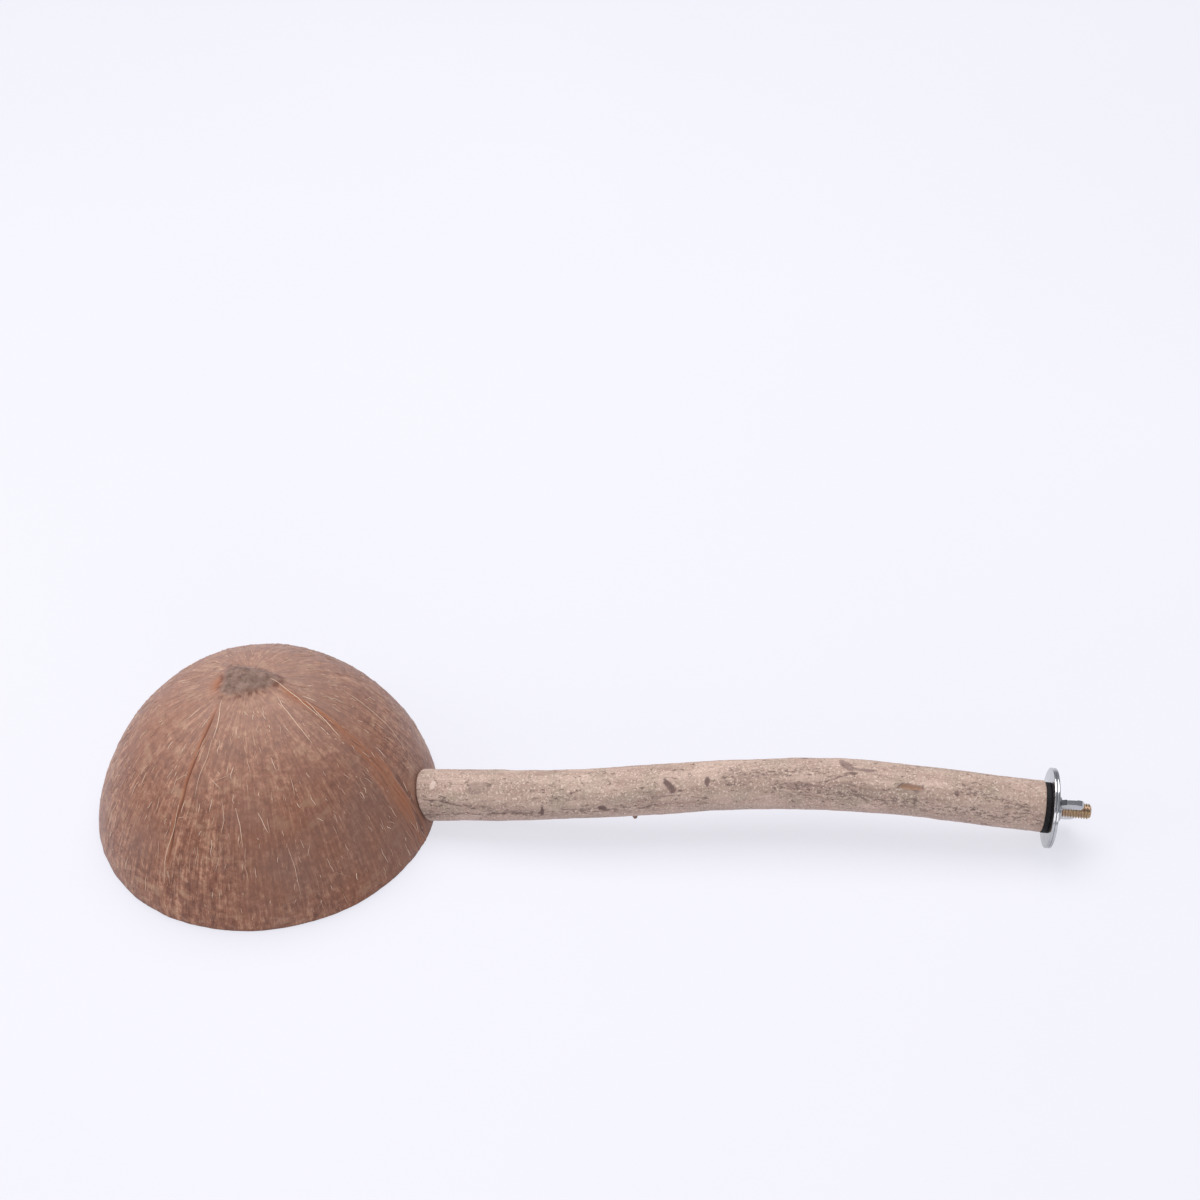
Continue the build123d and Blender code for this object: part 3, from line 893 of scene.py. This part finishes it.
def branch_rings(perch, around):
    """Plain rings from the middle of the coped end to the middle of the square one.

    With them come each ring's places along the axis, and how much of it is a cut face.
    """
    base = PERCH_DIAMETER / 2
    round_start, round_end = 1.5, 0.45

    def ring(along, radius):
        return perch.point(along, around, radius)

    rows, tags = [], []
    start_radius = base * PERCH_ENDS[0]
    for share in (0.05, 0.35, 0.65):
        radius = np.full(around.shape, (start_radius - round_start) * share)
        along = perch.cope(around, radius)
        rows.append(ring(along, radius))
        tags.append((along, 1.0))
    first = perch.cope(around, np.full(around.shape, start_radius - round_start))
    for share in (0.0, 0.08, 0.2, 0.36, 0.55, 0.77, 1.0):
        inset = round_start * (1 - math.sqrt(1 - (1 - share) ** 2))
        radius = np.full(around.shape, start_radius - inset)
        along = perch.cope(around, radius) + round_start * share * 0.6 if share else first
        rows.append(ring(along, radius))
        tags.append((along, 1.0 - share))
    side_start = along
    last = perch.length - round_end
    for share in np.linspace(0, 1, 560)[1:]:
        along = side_start + (last - side_start) * share
        rows.append(ring(along, base * np.interp(along, perch.table, perch.shares)))
        tags.append((along, 0.0))
    end_radius = base * PERCH_ENDS[1]
    for share in (0.35, 0.7, 1.0):
        inset = round_end * (1 - math.sqrt(1 - share**2))
        along = np.full(around.shape, last + round_end * share)
        rows.append(ring(along, np.full(around.shape, end_radius - inset)))
        tags.append((along, 0.5 * share))
    along = np.full(around.shape, perch.length)
    for share in (0.85, 0.6, 0.3, 0.05):
        rows.append(ring(along, np.full(around.shape, (end_radius - round_end) * share)))
        tags.append((along, 1.0))
    along = np.stack([np.broadcast_to(place, around.shape) for place, _ in tags])
    cut = np.stack([np.full(around.shape, share) for _, share in tags])
    return np.stack(rows), along, cut


def make_branch(material):
    perch = Perch()
    base = PERCH_DIAMETER / 2
    around = np.arange(164) * 360 / 164 - 180
    rows, along, cut = branch_rings(perch, around)
    axis = perch.at(along, perch.line)
    outward = rows - axis
    radius = np.linalg.norm(outward, axis=-1)
    outward /= radius[..., None]
    turn = np.radians(around)[None] + 0 * along
    local = np.stack([along, base * np.cos(turn), base * np.sin(turn)], -1)
    lift = 0.30 * layered_noise(local / (34, 9, 9), 2, 71) + 0.16 * layered_noise(local / (9, 5, 5), 3, 75)
    lift += 0.07 * layered_noise(local / (5.0, 0.9, 0.9), 2, 81) + 0.035 * smooth_noise(local / 0.8, 85)
    x = rows[..., 0]
    depth, shares = perch_marks(x, np.degrees(turn), np.full(x.shape, base))
    lift -= depth
    lift += 0.55 * np.exp(-(((x - 221) / 7) ** 2) - (turned_by(np.degrees(turn), -5) / 38) ** 2)
    lift += 0.35 * np.exp(-(((x - 131) / 8) ** 2) - (turned_by(np.degrees(turn), -95) / 40) ** 2)
    solid = soft_step(radius, 0.3 * base, 0.95 * base) * (1 - 0.9 * cut)
    rows = rows + outward * (lift * solid)[..., None]

    under = soft_step(np.abs(turned_by(np.degrees(turn), 180)), 100, 40)
    under *= 0.55 + 0.45 * soft_step(layered_noise(local / (20, 6, 6), 2, 91), -0.3, 0.4)
    attributes = {
        "grain": local * (0.22, 1, 1),
        "skin": local,
        "underside": 0.75 * under,
        "cut": np.where(cut > 0.6, 0.75, 0.0) * (along > perch.length / 2),
        **shares,
    }
    branch = skin("branch_skin", rows, material, attributes)
    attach(branch, BODY)
    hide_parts("perch_branch")
    return perch


def make_twig_stub(perch, material):
    """The broken foot of a twig, under the perch."""
    twig_x, twig_around = 141.9, np.array([-141.0])
    steps = np.array([-0.4, 0.0, 0.5, 1.0, 1.4, 1.7])  # out from the wood, and the thickness there
    thick = np.array([1.7, 1.4, 1.1, 0.85, 0.65, 0.3])
    around = np.arange(14) * 2 * math.pi / 14
    index = np.argmin(np.abs(perch.line[:, 0] - twig_x))
    along = perch.table[index : index + 1]
    foot = perch.point(along, twig_around, np.array([PERCH_DIAMETER / 2 - 0.6]))[0]
    tip = perch.point(along, twig_around, np.array([PERCH_DIAMETER / 2 + 1.0]))[0]
    out = (tip - foot) / np.linalg.norm(tip - foot)
    side = perch.ahead[index]
    other = np.cross(out, side)
    rows = []
    for step, width in zip(steps, thick):
        places = np.stack([np.cos(around) * 2, np.sin(around) * 2, around * 0 + step], -1)
        wave = 1 + 0.22 * smooth_noise(places, 95)
        ring = np.cos(around)[:, None] * side + np.sin(around)[:, None] * other
        rows.append(foot + out * step + ring * (width * wave)[:, None])
    zero = np.zeros((len(steps), len(around)))
    rows = np.stack(rows)
    attributes = {
        "grain": rows,
        "skin": rows,
        "scar": zero + np.linspace(0.2, 0.7, len(steps))[:, None],
        "knot": zero + np.linspace(0.5, 0.8, len(steps))[:, None],
    }
    stub = skin("twig_stub", rows, material, attributes)
    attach(stub, BODY)


# ---- clamp hardware


def clamp_matrix():
    """The bolt's frame in metres: +Z out of the wood, +X up."""
    out = Vector((math.cos(BOLT_TILT), 0, -math.sin(BOLT_TILT)))
    up = Vector((math.sin(BOLT_TILT), 0, math.cos(BOLT_TILT)))
    side = out.cross(up)
    turn = Matrix((up, side, out)).transposed().to_4x4()
    return Matrix.Translation(Vector((CLAMP_X, 0, CLAMP_Z)) * MM) @ turn


def lathe(name, outline, material, body, count=160, seed=0, wobble=0.0):
    """A ring turned about the bolt from a closed outline of (radius, distance along) points."""
    turn = np.arange(count) * 2 * math.pi / count
    points, faces = [], []
    sides = len(outline)
    for radius, along in outline:
        ring = np.stack([radius * np.cos(turn), radius * np.sin(turn), turn * 0 + along], -1)
        if wobble:
            ring[:, :2] *= (1 + wobble * smooth_noise(ring / 3, seed) / max(radius, 1))[:, None]
        points += (ring * MM).tolist()
    for side in range(sides):
        a, b = side * count, (side + 1) % sides * count
        faces += [(a + k, a + (k + 1) % count, b + (k + 1) % count, b + k) for k in range(count)]
    mesh = bpy.data.meshes.new(name)
    mesh.from_pydata(points, [], faces)
    mesh.transform(clamp_matrix())
    made = piece(name, mesh, material)
    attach(made, body)
    return made


def rounded_section(inner, outer, low, high, edge, steps=4):
    """The outline of a washer's section with rounded corners."""
    outline = []
    corners = ((outer, low, -90), (outer, high, 0), (inner, high, 90), (inner, low, 180))
    for radius, along, first in corners:
        centre_radius = radius - math.copysign(edge, radius - (inner + outer) / 2)
        centre_along = along + (edge if along == low else -edge)
        for k in range(steps + 1):
            turn = math.radians(first + 90 * k / steps)
            outline.append((centre_radius + edge * math.cos(turn), centre_along + edge * math.sin(turn)))
    return outline


def make_hardware(zinc, rubber):
    rubber_ring = lathe(
        "rubber_washer_skin",
        rounded_section(RUBBER_BORE, RUBBER_DIAMETER / 2, 0.0, RUBBER_THICKNESS, 0.28),
        rubber,
        BODY,
        seed=3,
        wobble=0.10,
    )
    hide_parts("rubber_washer")
    for name, low, body in (
        ("inner_washer", INNER_WASHER_START, BODY),
        ("outer_washer", OUTER_WASHER_START, "outer_washer"),
    ):
        outline = rounded_section(WASHER_BORE, WASHER_DIAMETER / 2, low, low + WASHER_THICKNESS, 0.22)
        washer = lathe(name + "_skin", outline, zinc, body)
        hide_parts(name)


def thread_radius(along, turn, pitch, root, crest):
    """The radius of a right-hand thread at points along and round a bolt."""
    phase = (along / pitch - turn / (2 * math.pi)) % 1
    return root + (crest - root) * soft_step(1 - np.abs(2 * phase - 1), 0.12, 0.88)


def make_bolt(material):
    """The hanger bolt: its wood thread, plain shank and machine thread in one skin."""
    turn = np.arange(64) * 2 * math.pi / 64
    end = STACK + BOLT_PROJECTION
    lag = np.linspace(LAG_END, SHANK_END, 110)[:, None] + 0 * turn
    machine = np.linspace(0.0, end, 300)[:, None] + 0 * turn
    point = np.clip(0.15 + 0.85 * (lag - LAG_END) / LAG_POINT, 0, 1)
    lag_radius = thread_radius(lag, turn, LAG_PITCH, LAG_ROOT, LAG_CREST) * point
    machine_radius = thread_radius(machine, turn, BOLT_PITCH, BOLT_ROOT, BOLT_CREST)
    chamfer = 1.1 * np.maximum(machine - (end - 0.75), 0)
    machine_radius = np.minimum(machine_radius, BOLT_CREST - chamfer)
    cap = np.array([1.6, 0.8, 0.1])[:, None] + 0 * turn
    shank = np.array([SHANK_END + 0.01, -0.01])[:, None] + 0 * turn
    along = np.concatenate([lag, shank, machine, cap * 0 + end])
    radius = np.concatenate([lag_radius, shank * 0 + SHANK_RADIUS, machine_radius, cap])
    rows = np.stack([radius * np.cos(turn), radius * np.sin(turn), along], -1)
    bolt = skin("hanger_bolt_skin", rows, material)
    bolt.data.transform(clamp_matrix())
    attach(bolt, BODY)
    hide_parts("hanger_bolt")


def wing_shape(side):
    """One wing as a rounded slab, in mm in the nut's own frame, for the remesh that follows."""
    thickness = 2.5
    outline = [(4.1, 0.5), (5.3, 0.55), (9.6, 1.15), (11.3, 3.1), (12.05, 6.8), (11.4, 8.7), (9.6, 9.65)]
    outline += [(6.0, 9.65), (5.15, 8.9), (4.6, 5.5), (4.1, 2.8)]
    verts, faces = [], []
    for half in (-1, 1):
        for x, z in outline:
            thin = 1 - 0.14 * max(0, (x - 5) / 7)
            verts.append((side * x, half * thickness / 2 * thin, z))
    count = len(outline)
    faces.append(tuple(range(count)))
    faces.append(tuple(reversed(range(count, 2 * count))))
    for k in range(count):
        n = (k + 1) % count
        faces.append((k, k + count, n + count, n))
    return verts, faces


def hub_shape():
    """The hub as a turned ring, in mm in the nut's own frame."""
    outline = [(3.03, 0.0), (3.03, 2.85), (4.35, 2.85), (4.7, 2.6), (5.3, 0.5), (5.2, 0.0)]
    count = 96
    verts, faces = [], []
    for radius, along in outline:
        for k in range(count):
            turn = 2 * math.pi * k / count
            verts.append((radius * math.cos(turn), radius * math.sin(turn), along))
    for side in range(len(outline)):
        a, b = side * count, (side + 1) % len(outline) * count
        faces += [(a + (k + 1) % count, a + k, b + k, b + (k + 1) % count) for k in range(count)]
    return verts, faces


def make_wing_nut(material):
    """A cast wing nut: its hub and wings are remeshed into one skin, whose corners are then eased."""
    points, faces = [], []
    for verts, polygons in (hub_shape(), wing_shape(1), wing_shape(-1)):
        start = len(points)
        points += [(x * MM, y * MM, z * MM) for x, y, z in verts]
        faces += [tuple(start + k for k in polygon) for polygon in polygons]
    mesh = bpy.data.meshes.new("wing_nut_blank")
    mesh.from_pydata(points, [], faces)
    nut = piece("wing_nut_skin", mesh, material)
    remesh = nut.modifiers.new("cast", "REMESH")
    remesh.mode = "VOXEL"
    remesh.voxel_size = 0.13 * MM
    ease = nut.modifiers.new("ease", "SMOOTH")
    ease.factor = 0.5
    ease.iterations = 9
    bpy.context.view_layer.update()
    shaped = bpy.data.meshes.new_from_object(nut.evaluated_get(bpy.context.evaluated_depsgraph_get()))
    nut.modifiers.clear()
    nut.data = shaped
    place = Matrix.Translation((0, 0, NUT_START * MM)) @ Matrix.Rotation(math.radians(WING_ANGLE), 4, "Z")
    shaped.transform(clamp_matrix() @ place)
    shaped.polygons.foreach_set("use_smooth", [True] * len(shaped.polygons))
    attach(nut, "wing_nut")
    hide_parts("wing_nut")


def dress(node, material):
    """Gives a CAD node a material."""
    NODES[node].data.materials.clear()
    NODES[node].data.materials.append(material)


def add_floor():
    mesh = bpy.data.meshes.new("floor")
    size = 6.0
    corners = [(-size, -size, 0), (size, -size, 0), (size, size, 0), (-size, size, 0)]
    mesh.from_pydata(corners, [], [(0, 1, 2, 3)])
    floor = piece("floor", mesh, floor_material(), smooth=False)
    floor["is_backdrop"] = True


def main():
    add_camera()
    add_light()
    add_floor()
    make_shell(coconut_material())
    make_hairs(hair_material())
    wood = branch_material()
    perch = make_branch(wood)
    make_twig_stub(perch, wood)
    zinc = metal_material("bright_zinc")
    make_hardware(zinc, rubber_material())
    make_wing_nut(zinc)
    make_bolt(metal_material("yellow_zinc"))
    steel = metal_material("plain_steel")
    dress("shell_screw", steel)
    dress("screw_washer", steel)
    sizes = {"cad": cad_bounds, "visual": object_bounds()}
    sizes = {key: [list(corner) for corner in corners] for key, corners in sizes.items()}


main()
